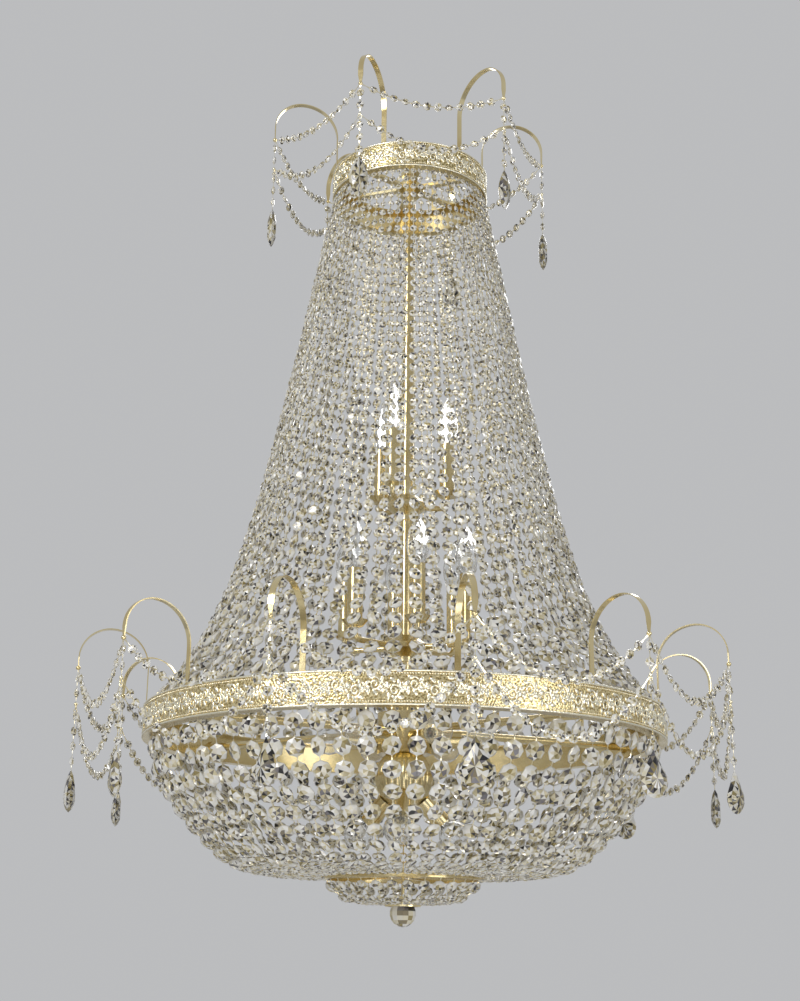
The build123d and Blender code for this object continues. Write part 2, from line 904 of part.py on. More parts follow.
def lamp_arm(hub_radius, radius, height):
    """A rod bent up under the drip cup."""
    with BuildPart() as arm:
        with BuildLine():
            FilletPolyline(
                (hub_radius + joint_gap, 0, height),
                (radius, 0, height),
                (radius, 0, height + lamp_arm_rise),
                radius=lamp_arm_bend,
            )
        with BuildSketch(Plane.YZ.offset(hub_radius + joint_gap)):
            with Locations((0, height)):
                Circle(lamp_arm_radius)
        sweep()
    return arm.part


floor_height = cup_wall + 1
drip_cup = turned_part(
    [
        (0, 0),
        (sleeve_radius + cup_wall, 0),
        (cup_radius, cup_height),
        (cup_radius - cup_wall, cup_height),
        (sleeve_radius + cup_wall / 2, floor_height),
        (0, floor_height),
    ]
)
sleeve = tube(sleeve_radius, sleeve_radius - sleeve_wall, 0, sleeve_height)
holder_height = sleeve_height - cup_wall
holder = turned_part(
    [
        (0, 0),
        (holder_radius, 0),
        (holder_radius, holder_height),
        (holder_bore, holder_height),
        (holder_bore, holder_height - cap_height),
        (0, holder_height - cap_height),
    ]
)
cap_base = holder_height - cap_height
bulb_cap = tube(
    cap_radius, candle_neck_radius - candle_neck_wall, cap_base, holder_height
)


def candle_bulb(low):
    """Pointed candle bulb."""
    widest = low + candle_belly_share * candle_bulb_length
    narrow = low + candle_tip_share * candle_bulb_length
    top = low + candle_bulb_length
    with BuildPart() as bulb:
        with BuildSketch(Plane.XZ):
            with BuildLine():
                Line((0, low), (candle_neck_radius, low))
                Spline(
                    (candle_neck_radius, low),
                    (candle_bulb_radius, widest),
                    (candle_tip_radius, narrow),
                    (candle_point_radius, top),
                )
                Line((candle_point_radius, top), (0, top))
                Line((0, top), (0, low))
            make_face()
        revolve(axis=Axis.Z)
    return bulb.part


candle = candle_bulb(holder_height)


def placed(piece, radius, height, count, first):
    """Copies of an upright lamp piece round the stem."""
    moved = piece.moved(Location((radius, 0, height)))
    return turned(moved, [first + 360 / count * k for k in range(count)])


tiers = (
    (
        upper_lamp_count,
        upper_lamp_radius,
        upper_hub_bottom,
        upper_hub_radius,
        upper_lamp_first_angle,
    ),
    (
        middle_lamp_count,
        middle_lamp_radius,
        middle_hub_bottom,
        middle_hub_radius,
        middle_lamp_first_angle,
    ),
)
lamp_hubs = []
lamp_collars = []
lamp_arms = []
cups = []
sleeves = []
holders = []
candle_caps = []
candles = []
for count, radius, hub_low, hub_radius, first in tiers:
    arm_height = hub_low + sum(hub_belly_shares) / 2 * hub_height
    cup_low = arm_height + lamp_arm_rise
    sleeve_low = cup_low + floor_height
    lamp_hubs += lamp_hub(hub_radius, hub_low).solids()
    lamp_collars += tube(
        collar_radius, stem_radius + slip_gap, hub_low - collar_height, hub_low
    ).solids()
    lamp_arms += placed(
        lamp_arm(hub_radius, radius, arm_height), 0, 0, count, first
    )
    cups += placed(drip_cup, radius, cup_low, count, first)
    sleeves += placed(sleeve, radius, sleeve_low, count, first)
    holders += placed(holder, radius, sleeve_low, count, first)
    candle_caps += placed(bulb_cap, radius, sleeve_low, count, first)
    candles += placed(candle, radius, sleeve_low, count, first)
save(lamp_hubs, "lamp_hubs")
save(lamp_collars, "hub_collars")
save(lamp_arms, "lamp_arms")
save(cups, "drip_cups")
save(sleeves, "candle_sleeves")
save(holders, "candle_lampholders")
save(candle_caps, "candle_bulb_caps")
save(candles, "candle_bulbs")

# sockets with globe bulbs, straight out of the ring hub and slanting down from the vase
socket = turned_part(
    [
        (0, 0),
        (socket_radius, 0),
        (socket_radius, socket_length),
        (holder_bore, socket_length),
        (holder_bore, socket_length - cap_height),
        (0, socket_length - cap_height),
    ]
)
socket_cap = tube(
    cap_radius,
    candle_neck_radius - candle_neck_wall,
    socket_length - cap_height,
    socket_length,
)
globe_middle = socket_length + globe_neck_length + globe_radius * globe_seat_share
with BuildPart() as globe:
    with BuildSketch(Plane.XY.offset(socket_length)):
        Circle(candle_neck_radius)
    extrude(amount=globe_middle - socket_length)
    with Locations((0, 0, globe_middle)):
        Sphere(globe_radius)

level = Plane(origin=(ring_hub_radius + joint_gap, 0, ring_lamp_height), z_dir=(1, 0, 0))
slope = math.radians(low_lamp_slope)
slant_dir = Vector(math.cos(slope), 0, -math.sin(slope))
slant = Plane(
    origin=Vector(0, 0, vase_middle) + slant_dir * (vase_radius + joint_gap),
    z_dir=slant_dir,
)
level_angles = [a + 180 / ring_lamp_count for a in arm_angles[:ring_lamp_count]]
slant_angles = [arm_angles[0] + 360 / low_lamp_count * k for k in range(low_lamp_count)]
sockets = []
globe_caps = []
globes = []
for plane, angles in ((level, level_angles), (slant, slant_angles)):
    sockets += turned(socket.moved(plane.location), angles)
    globe_caps += turned(socket_cap.moved(plane.location), angles)
    globes += turned(globe.part.moved(plane.location), angles)
save(sockets, "globe_sockets")
save(globe_caps, "globe_bulb_caps")
save(globes, "globe_bulbs")

# hollow vase under the ring hub, its nut, and an eye for the chain below it
vase_top = ring_hub_bottom - hub_cover_thickness
vase_eye = vase_middle - vase_radius - link_width / 2 + link_wire * 2
with BuildPart() as vase:
    with Locations((0, 0, vase_middle)):
        Sphere(vase_radius)
        Sphere(vase_radius - vase_wall, mode=Mode.SUBTRACT)
    with BuildSketch(Plane.XY.offset(vase_top - vase_wall)):
        Circle(math.sqrt(vase_radius**2 - (vase_top - vase_middle) ** 2))
    extrude(amount=vase_wall)
    with BuildSketch(Plane.XY.offset(vase_top)):
        Circle(2 * vase_radius)
    extrude(amount=2 * vase_radius, mode=Mode.SUBTRACT)
    with BuildSketch(Plane.XY.offset(vase_middle)):
        Circle(stem_radius + slip_gap)
    extrude(amount=2 * vase_radius, mode=Mode.SUBTRACT)
    with Locations(Location((0, 0, vase_eye), (90, 0, 0))):
        Torus(link_width / 2 - link_wire, link_wire)
save([vase.part.solid()], "vase")

vase_nut = hex_nut(
    nut_across_flats,
    stem_radius + slip_gap,
    vase_top - vase_wall - vase_nut_height,
    vase_nut_height,
)
save([vase_nut.solid()], "vase_nut")

# ---------------------------------------------------------------------------
# Chain from the vase to the small ring
# ---------------------------------------------------------------------------
eye_inside = link_width / 2 - link_wire
chain_top = vase_eye - eye_inside
chain_bottom = eye_wire_height + eye_inside
inside_length = link_length - 2 * link_wire
step_full = inside_length - 2 * link_wire - link_gap
chain_span = chain_top - chain_bottom + 2 * (2 * link_wire + link_gap)
link_pairs = round((chain_span - 2 * link_wire - link_gap) / step_full / 2 - 0.5)
link_count = 2 * max(1, link_pairs) + 1
link_step = (chain_span - 2 * link_wire - link_gap) / link_count
link_half = (link_step + 2 * link_wire + link_gap) / 2
chain_links = []
for k in range(link_count):
    middle = chain_top + 2 * link_wire + link_gap - link_half - k * link_step
    arc = link_width / 2 - link_wire
    straight = link_half - arc
    with BuildPart() as link:
        with BuildLine(Plane.YZ if k % 2 == 0 else Plane.XZ):
            Line((arc, middle - straight), (arc, middle + straight))
            ThreePointArc(
                (arc, middle + straight), (0, middle + link_half), (-arc, middle + straight)
            )
            Line((-arc, middle + straight), (-arc, middle - straight))
            ThreePointArc(
                (-arc, middle - straight), (0, middle - link_half), (arc, middle - straight)
            )
        with BuildSketch(Plane.XY.offset(middle - straight)):
            with Locations((0, arc) if k % 2 == 0 else (arc, 0)):
                Circle(link_wire)
        sweep()
    chain_links += link.part.solids()
save(chain_links, "lower_chain")

print("tent beads", len(tent_beads), "bowl beads", len(bowl_beads))
print("basket beads", len(basket_beads), "links", link_count)
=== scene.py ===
import json
import math
import random
import bpy
from mathutils import Matrix, Vector


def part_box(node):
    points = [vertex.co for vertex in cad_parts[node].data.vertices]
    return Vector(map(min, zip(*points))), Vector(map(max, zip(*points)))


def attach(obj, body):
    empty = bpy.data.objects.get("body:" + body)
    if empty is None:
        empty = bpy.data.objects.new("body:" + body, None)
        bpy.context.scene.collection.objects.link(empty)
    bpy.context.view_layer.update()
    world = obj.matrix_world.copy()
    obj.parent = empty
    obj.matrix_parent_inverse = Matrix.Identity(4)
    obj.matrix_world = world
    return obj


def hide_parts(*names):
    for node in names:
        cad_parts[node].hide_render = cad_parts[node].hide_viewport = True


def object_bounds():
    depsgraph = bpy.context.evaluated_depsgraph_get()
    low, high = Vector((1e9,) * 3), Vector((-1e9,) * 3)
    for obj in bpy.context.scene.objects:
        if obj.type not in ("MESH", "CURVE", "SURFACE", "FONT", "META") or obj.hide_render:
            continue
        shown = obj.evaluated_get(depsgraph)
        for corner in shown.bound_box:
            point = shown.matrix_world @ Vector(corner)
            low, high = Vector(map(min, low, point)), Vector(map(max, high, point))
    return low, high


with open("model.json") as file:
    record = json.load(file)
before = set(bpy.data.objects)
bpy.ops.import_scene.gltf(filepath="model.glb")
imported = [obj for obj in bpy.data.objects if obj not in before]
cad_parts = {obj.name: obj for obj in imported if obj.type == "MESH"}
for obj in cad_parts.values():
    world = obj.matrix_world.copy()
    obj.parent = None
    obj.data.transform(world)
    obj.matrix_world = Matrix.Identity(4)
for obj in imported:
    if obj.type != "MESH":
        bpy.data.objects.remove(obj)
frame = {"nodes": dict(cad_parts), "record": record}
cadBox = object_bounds()
nodes = frame["nodes"]
print("stage: frame loaded,", len(nodes), "nodes")

# hand tools: select, add, shape, copy and join pieces


def deselectAll():
    if bpy.context.object and bpy.context.object.mode != "OBJECT":
        bpy.ops.object.mode_set(mode="OBJECT")
    bpy.ops.object.select_all(action="DESELECT")


def focus(piece):
    deselectAll()
    piece.select_set(True)
    bpy.context.view_layer.objects.active = piece


def addMesh(kind, name, **settings):
    deselectAll()
    getattr(bpy.ops.mesh, f"primitive_{kind}_add")(**settings)
    piece = bpy.context.object
    piece.name = name
    bpy.ops.object.transform_apply(location=True, rotation=True, scale=True)
    return piece


def onFaces(piece, chosen, *steps):
    focus(piece)
    bpy.ops.object.mode_set(mode="EDIT")
    bpy.ops.mesh.select_mode(type="FACE")
    bpy.ops.mesh.select_all(action="DESELECT")
    bpy.ops.object.mode_set(mode="OBJECT")
    for face in piece.data.polygons:
        face.select = chosen(face)
    bpy.ops.object.mode_set(mode="EDIT")
    for step in steps:
        step()
    bpy.ops.object.mode_set(mode="OBJECT")


def applyModifier(piece, kind, **settings):
    focus(piece)
    made = piece.modifiers.new(kind.title(), kind)
    for key, value in settings.items():
        setattr(made, key, value)
    bpy.ops.object.modifier_apply(modifier=made.name)


def pushOut(piece, chosen, move, scale, turn):
    onFaces(
        piece,
        chosen,
        lambda: bpy.ops.mesh.extrude_region_move(TRANSFORM_OT_translate={"value": move}),
        lambda: bpy.ops.transform.resize(value=scale),
        lambda: bpy.ops.transform.rotate(
            value=turn, orient_axis="X", center_override=(0, 0, 0)
        ),
    )


def copyOf(piece, matrix):
    twin = piece.copy()
    twin.data = piece.data.copy()
    twin.data.transform(matrix)
    bpy.context.scene.collection.objects.link(twin)
    return twin


def joined(pieces, name):
    deselectAll()
    for piece in pieces:
        piece.select_set(True)
    bpy.context.view_layer.objects.active = pieces[0]
    if len(pieces) > 1:
        bpy.ops.object.join()
    whole = bpy.context.object
    whole.name = name
    return whole


def discard(*pieces):
    for piece in pieces:
        bpy.data.objects.remove(piece)


def turnZ(degrees):
    return Matrix.Rotation(math.radians(degrees), 4, "Z")


def finishPiece(piece, body, material, replaced=()):
    piece.data.materials.clear()
    piece.data.materials.append(material)
    if replaced:
        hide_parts(*replaced)
    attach(piece, body)


# materials are written as sums on sockets


class Value:
    def __init__(self, graph, socket):
        self.graph = graph
        self.socket = socket

    def maths(self, operation, other=None, flip=False):
        pair = [self, other] if not flip else [other, self]
        sockets = {i: v for i, v in enumerate(pair) if v is not None}
        return self.graph.node("ShaderNodeMath", {"operation": operation}, sockets)[0]

    def __add__(self, other):
        return self.maths("ADD", other)

    def __sub__(self, other):
        return self.maths("SUBTRACT", other)

    def __rsub__(self, other):
        return self.maths("SUBTRACT", other, flip=True)

    def __mul__(self, other):
        return self.maths("MULTIPLY", other)

    __radd__ = __add__
    __rmul__ = __mul__


class Graph:
    def __init__(self, name):
        self.material = bpy.data.materials.new(name)
        self.material.use_nodes = True
        self.tree = self.material.node_tree
        self.surface = self.tree.nodes["Principled BSDF"]

    def node(self, kind, settings=None, sockets=None):
        made = self.tree.nodes.new(kind)
        for key, value in (settings or {}).items():
            if key == "stops":
                ramp = made.color_ramp.elements
                while len(ramp) < len(value):
                    ramp.new(0.5)
                for stop, (place, colour) in zip(ramp, value):
                    stop.position = place
                    stop.color = (*colour, 1.0)
            else:
                setattr(made, key, value)
        for key, value in (sockets or {}).items():
            if isinstance(value, Value):
                self.tree.links.new(value.socket, made.inputs[key])
            else:
                made.inputs[key].default_value = value
        return [Value(self, socket) for socket in made.outputs]

    def feed(self, **sockets):
        for key, value in sockets.items():
            target = self.surface.inputs[key.replace("_", " ")]
            if isinstance(value, Value):
                self.tree.links.new(value.socket, target)
            else:
                target.default_value = value
        return self.material


def attribute(graph, name):
    return graph.node("ShaderNodeAttribute", {"attribute_name": name})[2]


def place(graph):
    return graph.node("ShaderNodeTexCoord")[3]


def noise(graph, scale, detail=2.0):
    sockets = {"Vector": place(graph), "Scale": scale, "Detail": detail}
    return graph.node("ShaderNodeTexNoise", {}, sockets)[0]


def ramp(graph, factor, *stops):
    return graph.node("ShaderNodeValToRGB", {"stops": stops}, {"Fac": factor})[0]


def blend(graph, share, first, second):
    sockets = {0: share, 6: first, 7: second}
    return graph.node("ShaderNodeMix", {"data_type": "RGBA"}, sockets)[2]


def stepUp(graph, height, sharpness):
    settings = {"operation": "MULTIPLY", "use_clamp": True}
    return graph.node("ShaderNodeMath", settings, {0: height, 1: sharpness})[0]


def bump(graph, height, strength, distance):
    sockets = {"Height": height, "Strength": strength, "Distance": distance}
    return graph.node("ShaderNodeBump", {}, sockets)[0]


finish = {
    # the deepest gold is painted shade in the punch hollows; the brightest gold is a painted
    # highlight on the relief crests and also the pale end of the pins' gold
    "punchShadeGold": (0.24, 0.18, 0.06),
    "goldOlive": (0.46, 0.36, 0.13),
    "goldWarm": (0.66, 0.52, 0.24),
    "goldPale": (0.86, 0.75, 0.46),
    "highlightAndPaleGold": (0.98, 0.94, 0.78),
    # crystal colours are painted reflections on the facets: dark, grey and olive for reflected
    # surroundings, cream and white for painted highlights
    "reflectionDark": (0.012, 0.012, 0.014),
    "reflectionGrey": (0.20, 0.19, 0.22),
    "reflectionOlive": (0.34, 0.27, 0.09),
    "reflectionCream": (0.84, 0.76, 0.52),
    "highlightWhite": (0.98, 0.97, 0.93),
    "crystalClear": 0.45,
    "crystalIndex": 1.60,
    "glassClear": 0.95,
    "glassIndex": 1.45,
    "patchScale": 14.0,
    "hazeScale": 25.0,
    "dustScale": 90.0,
    "polishScale": 60.0,
}
emboss = {
    "punchScale": 330.0,
    "speckScale": 300.0,
    "punchDepth": 0.0009,
    "punchStrength": 0.45,
    # where the relief starts to take the painted highlight, and how fast it brightens
    "highlightFrom": 0.52,
    "highlightSharpness": 5.5,
    "rough": (0.14, 0.30),
    "skin": 0.001,
    "skinSharpness": 3000.0,
}


def between(share, low, high):
    return share * (high - low) + low


def goldPatches(graph, low, high):
    return ramp(graph, noise(graph, finish["patchScale"]), (0.30, low), (0.70, high))


def goldMaterial(name, low, high, roughLow, roughHigh, grain):
    graph = Graph(name)
    colour = goldPatches(graph, low, high)
    specks = noise(graph, grain, 4.0)
    return graph.feed(
        Base_Color=colour,
        Metallic=1.0,
        Roughness=between(specks, roughLow, roughHigh),
        Normal=bump(graph, specks, 0.12, 0.0004),
    )


def embossedMaterial(name, radius, depth, ground):
    graph = Graph(name)
    sockets = {0: place(graph), 1: (1, 1, 0)}
    level = graph.node("ShaderNodeVectorMath", {"operation": "MULTIPLY"}, sockets)[0]
    reach = graph.node("ShaderNodeVectorMath", {"operation": "LENGTH"}, {0: level})[1]
    height = (reach - radius) * (0.5 / depth) + 0.5
    specks = noise(graph, emboss["speckScale"], 4.0)
    spots = {"Vector": place(graph), "Scale": emboss["punchScale"]}
    punched = graph.node("ShaderNodeTexVoronoi", {"feature": "F1"}, spots)[0]
    # punch centres get painted shade in the deepest gold, with pale gold between the punches
    stippleWithShade = ramp(
        graph,
        punched,
        (0.15, finish["punchShadeGold"]),
        (0.42, ground),
        (0.60, finish["goldPale"]),
    )
    # raised relief gets a painted highlight, brighter towards the crests; the recesses keep the
    # darker stippled ground as painted shade
    highlightMask = stepUp(graph, height - emboss["highlightFrom"], emboss["highlightSharpness"])
    crestHighlight = ramp(graph, height, (0.60, finish["goldPale"]), (0.90, finish["highlightAndPaleGold"]))
    # only the outer skin is embossed: the inner face stays plain
    outside = stepUp(graph, reach - (radius - emboss["skin"]), emboss["skinSharpness"])
    plain = goldPatches(graph, finish["goldWarm"], finish["goldPale"])
    colour = blend(graph, outside, plain, blend(graph, highlightMask, stippleWithShade, crestHighlight))
    return graph.feed(
        Base_Color=colour,
        Metallic=1.0,
        Roughness=between(specks, *emboss["rough"]),
        Normal=bump(graph, punched * outside, emboss["punchStrength"], emboss["punchDepth"]),
    )


def crystalMaterial():
    graph = Graph("cutCrystalPaintedReflections")
    # each facet's colour is a painted reflection picked by its tone, from dark reflections up to
    # white painted highlights
    reflectionTone = attribute(graph, "facetTone")
    colour = ramp(
        graph,
        reflectionTone,
        (0.00, finish["reflectionDark"]),
        (0.16, finish["reflectionDark"]),
        (0.30, finish["reflectionGrey"]),
        (0.46, finish["reflectionOlive"]),
        (0.60, finish["reflectionCream"]),
        (0.78, finish["highlightWhite"]),
    )
    return graph.feed(
        Base_Color=colour,
        Roughness=noise(graph, finish["polishScale"]) * 0.05 + 0.01,
        IOR=finish["crystalIndex"],
        Transmission_Weight=finish["crystalClear"],
    )


def bulbMaterial():
    graph = Graph("bulbGlass")
    haze = noise(graph, finish["hazeScale"])
    return graph.feed(
        Base_Color=ramp(graph, haze, (0.3, (0.96, 0.97, 0.97)), (0.7, (1.0, 1.0, 1.0))),
        Roughness=haze * 0.03,
        IOR=finish["glassIndex"],
        Transmission_Weight=finish["glassClear"],
    )


def insulatorMaterial():
    graph = Graph("insulator")
    dust = noise(graph, finish["dustScale"], 4.0)
    return graph.feed(
        Base_Color=ramp(graph, dust, (0.3, (0.80, 0.76, 0.66)), (0.7, (0.90, 0.87, 0.79))),
        Roughness=dust * 0.2 + 0.45,
        Normal=bump(graph, dust, 0.1, 0.0002),
    )


gold = goldMaterial("polishedGold", finish["goldWarm"], finish["goldPale"], 0.10, 0.24, 220.0)
pinGold = goldMaterial("pinGold", finish["goldPale"], finish["highlightAndPaleGold"], 0.12, 0.25, 400.0)
crystal = crystalMaterial()
bulbGlass = bulbMaterial()
insulator = insulatorMaterial()
slotMaterials = {
    "gilt_brass": gold,
    "crystal": crystal,
    "bulb_glass": bulbGlass,
    "insulator": insulator,
}
for entry in frame["record"]["subparts"]:
    cadPiece = nodes[entry["node"]]
    cadPiece.data.materials.clear()
    cadPiece.data.materials.append(slotMaterials[entry["material_slot"]])
print("stage: materials ready")

# one cut bead, a unit across, and one bow-tie pin serve every strand

bead = {
    "sides": 8,
    "girdle": 0.08,
    "crownRise": 0.15,
    "crownScale": 0.60,
    "reflectionMiddle": 0.34,
    "reflectionRim": 0.52,
    "reflectionSpread": 0.28,  # how unlike the painted reflection tones of neighbouring facets are
    "facingSpread": 28.0,
    "tiltSpread": 7.0,
    "reflectionGrid": 100000.0,
    "seed": 11,
}
pin = {"width": 0.0026, "thickness": 0.0010, "waist": 0.35, "bite": 0.06, "shortest": 0.0005}
dice = random.Random(bead["seed"])
glint = random.Random()


def makeBead(name):
    piece = addMesh(
        "cylinder",
        name,
        vertices=bead["sides"],
        radius=0.5,
        depth=bead["girdle"],
        rotation=(0, math.pi / 2, 0),
    )
    turn = math.pi / bead["sides"]
    for side in (-1, 1):
        pushOut(
            piece,
            lambda face: face.normal.x * side > 0.9,
            (side * bead["crownRise"], 0, 0),
            (1, bead["crownScale"], bead["crownScale"]),
            turn,
        )
    onFaces(
        piece,
        lambda face: len(face.vertices) == 4 and abs(face.normal.x) > 0.1,
        lambda: bpy.ops.mesh.quads_convert_to_tris(quad_method="FIXED"),
    )
    onFaces(piece, lambda face: len(face.vertices) > 4, lambda: bpy.ops.mesh.poke())
    paintFacetReflections(piece)
    return piece


def paintFacetReflections(piece):
    reflectionTone = piece.data.attributes.new("facetTone", "FLOAT", "FACE")
    for face, item in zip(piece.data.polygons, reflectionTone.data):
        # facets further from the bead's axis get a brighter painted reflection: painted
        # highlights on the rim, dark painted reflections in the centre
        out = math.hypot(face.center.y, face.center.z)
        item.value = min(1.0, out / 0.5)


def makePin(name):
    piece = addMesh("cube", name, size=1.0)
    onFaces(
        piece,
        lambda face: True,
        lambda: bpy.ops.mesh.subdivide(number_cuts=1),
    )
    for vertex in piece.data.vertices:
        if abs(vertex.co.z) < 0.1:
            vertex.co.x *= pin["waist"]
            vertex.co.y *= pin["waist"]
    return piece


def sparkle(piece):
    # a facet's painted reflection tone comes from its own place, whatever the order of the faces
    reflectionTone = piece.data.attributes["facetTone"]
    rim = [0.0] * len(reflectionTone.data)
    reflectionTone.data.foreach_get("value", rim)
    centres = [0.0] * (3 * len(rim))
    piece.data.polygons.foreach_get("center", centres)
    reflectionTones = []
    for i, share in enumerate(rim):
        x, y, z = (round(c * bead["reflectionGrid"]) for c in centres[3 * i : 3 * i + 3])
        glint.seed(x * 73856093 ^ y * 19349663 ^ z * 83492791)
        middle = bead["reflectionMiddle"] + bead["reflectionRim"] * share
        reflectionTones.append(max(0.0, min(1.0, glint.gauss(middle, bead["reflectionSpread"]))))
    reflectionTone.data.foreach_set("value", reflectionTones)
    piece.data.update()


cutBead = makeBead("cutBead")
plainPin = makePin("plainPin")


def beadMatrix(centre, along, outward, size):
    along = along.normalized()
    side = along.cross(outward).normalized()
    out = side.cross(along)
    turn = Matrix((out, side, along)).transposed().to_4x4()
    facing = Matrix.Rotation(math.radians(dice.uniform(-1, 1) * bead["facingSpread"]), 4, "Z")
    tilt = Matrix.Rotation(math.radians(dice.uniform(-1, 1) * bead["tiltSpread"]), 4, "Y")
    return Matrix.Translation(centre) @ turn @ facing @ tilt @ Matrix.Scale(size, 4)


def pinMatrix(low, high, outward):
    along = high - low
    side = along.normalized().cross(outward).normalized()
    out = side.cross(along.normalized())
    turn = Matrix((out, side, along.normalized())).transposed().to_4x4()
    size = Matrix.Diagonal((pin["thickness"], pin["width"], along.length, 1))
    return Matrix.Translation((low + high) / 2) @ turn @ size


def stringBeads(pattern, beads, start, end, outward):
    stops = [(start, 0)] + beads + [(end, 0)]
    cut = []
    pins = []
    for (before, _), (centre, size), (after, _) in zip(stops, stops[1:], stops[2:]):
        cut.append(copyOf(pattern, beadMatrix(centre, after - before, outward, size)))
    for (a, sizeA), (b, sizeB) in zip(stops, stops[1:]):
        along = (b - a).normalized()
        low = a + along * sizeA * (0.5 - pin["bite"])
        high = b - along * sizeB * (0.5 - pin["bite"])
        if (high - low).length > pin["shortest"]:
            pins.append(copyOf(plainPin, pinMatrix(low, high, outward)))
    return joined(cut, "beads"), joined(pins, "pins")


# a strand follows a path, measured along its length


class Path:
    def __init__(self, points):
        self.points = points
        self.reach = [0.0]
        for a, b in zip(points, points[1:]):
            self.reach.append(self.reach[-1] + (b - a).length)
        self.length = self.reach[-1]

    def at(self, distance):
        distance = min(max(distance, 0.0), self.length)
        for i, (low, high) in enumerate(zip(self.reach, self.reach[1:])):
            if distance <= high:
                break
        share = (distance - low) / max(high - low, 1e-9)
        return self.points[i].lerp(self.points[i + 1], share)


def layBeads(path, leadIn, leadOut, gap, sizeAt):
    laid = []
    start = leadIn
    while True:
        size = sizeAt(path.at(start))
        if start + size > path.length - leadOut:
            break
        laid.append(start + size / 2)
        start += size + gap
    spare = path.length - leadOut - (start - gap)
    stretch = spare / max(len(laid) - 1, 1)
    centres = [path.at(middle + i * stretch) for i, middle in enumerate(laid)]
    return [(centre, sizeAt(centre)) for centre in centres]


def smoothPath(corners, steps=40):
    ends = [corners[0] * 2 - corners[1]] + corners + [corners[-1] * 2 - corners[-2]]
    points = []
    for a, b, c, d in zip(ends, ends[1:], ends[2:], ends[3:]):
        for i in range(steps):
            t = i / steps
            points.append(
                0.5
                * (
                    2 * b
                    + (c - a) * t
                    + (2 * a - 5 * b + 4 * c - d) * t * t
                    + (3 * b - a - 3 * c + d) * t * t * t
                )
            )
    return Path(points + [corners[-1]])


# tent, bowl and basket strands

strand = {
    "count": 72,
    "sectors": 3,
    "variants": 4,
    "firstAngle": -110.0 + 2.5,
    "pinGap": 0.0055,
    "leadTop": 0.003,
    "leadRing": 0.008,
    "seat": 0.0006,
    "lean": (1, 0, 0.35),  # the way that a strand's beads face
}
tent = {
    "topRadius": 0.127,
    "bottomRadius": 0.387,
    "slope": 0.1885,
    "decay": 0.130,
    "share": 0.90,
    "fall": 0.16,
    "steps": 240,
}
bowl = {
    "topRadius": 0.386,
    "share": 0.88,
    "largest": 0.027,
    "curve": ((0.07, 0.32), (0.28, 0.69), (0.53, 0.945)),
}
basket = {
    "count": 30,
    "firstAngle": -110.0,
    "share": 0.82,
    "largest": 0.020,
    "inset": 0.00275,
    "curve": ((0.13, 0.50), (0.40, 0.85)),
}

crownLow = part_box("crown_band")[0][2]
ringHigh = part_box("large_band")[1][2]
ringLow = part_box("large_band")[0][2]
smallLow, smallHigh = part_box("small_ring")
smallRadius = smallHigh[0]
smallMiddle = (smallLow[2] + smallHigh[2]) / 2
collectorLow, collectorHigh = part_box("basket_collector")
collectorMiddle = (collectorLow[2] + collectorHigh[2]) / 2


def tentPath():
    top = crownLow - strand["seat"]
    height = top - (ringHigh + strand["seat"])
    flare = tent["bottomRadius"] - tent["topRadius"] - tent["slope"] * height
    points = []
    for i in range(tent["steps"] + 1):
        depth = height * i / tent["steps"]
        radius = tent["topRadius"] + tent["slope"] * depth
        radius += flare * math.exp(-(height - depth) / tent["decay"])
        points.append(Vector((radius, 0, top - depth)))
    return Path(points)


def tentBead(point):
    top = crownLow - strand["seat"]
    low = (top - point.z) / (top - ringHigh)
    return (tent["share"] - tent["fall"] * low) * 2 * math.pi * point.x / strand["count"]


def bowlPath():
    top = ringLow - strand["seat"]
    run = bowl["topRadius"] - smallRadius
    depth = top - smallMiddle
    corners = [Vector((bowl["topRadius"], 0, top))]
    for inward, down in bowl["curve"]:
        corners.append(Vector((bowl["topRadius"] - inward * run, 0, top - down * depth)))
    corners.append(Vector((smallRadius + strand["seat"], 0, smallMiddle)))
    return smoothPath(corners)


def bowlBead(point):
    pitch = 2 * math.pi * point.x / strand["count"]
    return min(bowl["largest"], bowl["share"] * pitch)


def basketPath():
    topRadius = smallRadius - basket["inset"]
    run = topRadius - collectorHigh[0]
    top = smallLow[2] - strand["seat"]
    depth = top - collectorMiddle
    corners = [Vector((topRadius, 0, top))]
    for inward, down in basket["curve"]:
        corners.append(Vector((topRadius - inward * run, 0, top - down * depth)))
    corners.append(Vector((collectorHigh[0] + strand["seat"], 0, collectorMiddle)))
    return smoothPath(corners)


def basketBead(point):
    pitch = 2 * math.pi * point.x / basket["count"]
    return min(basket["largest"], basket["share"] * pitch)


def strandVariants(pattern, path, leadOut, sizeAt):
    beads = layBeads(path, strand["leadTop"], leadOut, strand["pinGap"], sizeAt)
    outward = Vector(strand["lean"])
    made = []
    for _ in range(strand["variants"]):
        made.append(stringBeads(pattern, beads, path.at(0), path.at(path.length), outward))
    return made


def hangStrands(variants, angles, names, body, replaced):
    for part, name, slot, material in zip(
        (0, 1), names, ("crystal", "gilt_brass"), (crystal, pinGold)
    ):
        copies = [
            copyOf(variants[i % len(variants)][part], turnZ(angle))
            for i, angle in enumerate(angles)
        ]
        whole = joined(copies, name)
        if part == 0:
            sparkle(whole)
        finishPiece(whole, body, material, replaced if part == 0 else ())


